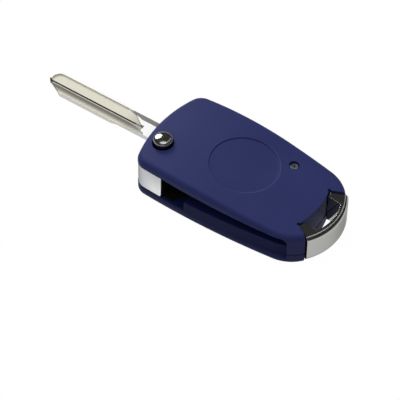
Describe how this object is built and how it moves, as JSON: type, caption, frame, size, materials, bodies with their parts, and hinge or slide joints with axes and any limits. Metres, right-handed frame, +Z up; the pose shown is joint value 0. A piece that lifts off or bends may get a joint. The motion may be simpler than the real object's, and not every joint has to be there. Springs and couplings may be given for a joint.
{
  "type": "flip key remote shell",
  "caption": "Empty folding key shell: an uncut blade swings out of a slim moulded case with a round badge seat, release button, side slot and key ring bar.",
  "frame": {"origin": "centre of the bounding box in X and Y, on the plane that the underside rests on", "axes": "+X along the case towards the key ring end, the open blade points to -X, +Z up out of the face with the badge seat, blade slot on the -Y side"},
  "size_m": [0.1067, 0.035, 0.0178],
  "materials": {
    "cover_plastic": "satin navy moulding",
    "inner_plastic": "black moulding",
    "key_plastic": "dark navy moulding",
    "keypad_rubber": "soft silicone",
    "chrome_trim": "bright plated",
    "blade_metal": "milled nickel silver",
    "screw_steel": "plated steel",
    "spring_steel": "bare spring steel"
  },
  "bodies": {
    "case": {"top_cover": "cover_plastic", "bottom_cover": "cover_plastic", "key_ring_bar": "chrome_trim", "bar_screw_near": "screw_steel", "bar_screw_far": "screw_steel", "case_screw": "screw_steel", "catch_ring": "spring_steel", "rotor_cup": "inner_plastic", "spring_cup": "inner_plastic", "thrust_washer": "inner_plastic", "keypad_mat": "keypad_rubber", "board_frame": "inner_plastic", "battery_clip": "spring_steel", "flip_spring": "spring_steel"},
    "blade_unit": {"blade_carrier": "chrome_trim", "key_blade": "blade_metal", "blade_pin": "spring_steel"},
    "release_button": {"release_button": "chrome_trim"},
    "unlock_button": {"unlock_button": "key_plastic"},
    "lock_button": {"lock_button": "key_plastic"},
    "boot_button": {"boot_button": "key_plastic"}
  },
  "joints": [
    {"name": "blade_flip", "type": "hinge", "parent": "case", "child": "blade_unit", "pos_m": [-0.00505, -0.0072, 0.009], "axis": [0, 0, 1], "range_deg": [0, 180], "stiffness_Nm_per_rad": 0.004, "springref_deg": -57.3},
    {"name": "release_button_press", "type": "slide", "parent": "blade_unit", "child": "release_button", "axis": [0, 0, -1], "range_m": [0, 0.0022], "stiffness_N_per_m": 300, "springref_m": -0.002, "deforming": ["flip_spring"]},
    {"name": "unlock_button_press", "type": "slide", "parent": "case", "child": "unlock_button", "axis": [0, 0, 1], "range_m": [0, 0.0004], "stiffness_N_per_m": 200, "springref_m": -0.0005},
    {"name": "lock_button_press", "type": "slide", "parent": "case", "child": "lock_button", "axis": [0, 0, 1], "range_m": [0, 0.0004], "stiffness_N_per_m": 200, "springref_m": -0.0005},
    {"name": "boot_button_press", "type": "slide", "parent": "case", "child": "boot_button", "axis": [0, 0, 1], "range_m": [0, 0.0004], "stiffness_N_per_m": 200, "springref_m": -0.0005}
  ]
}
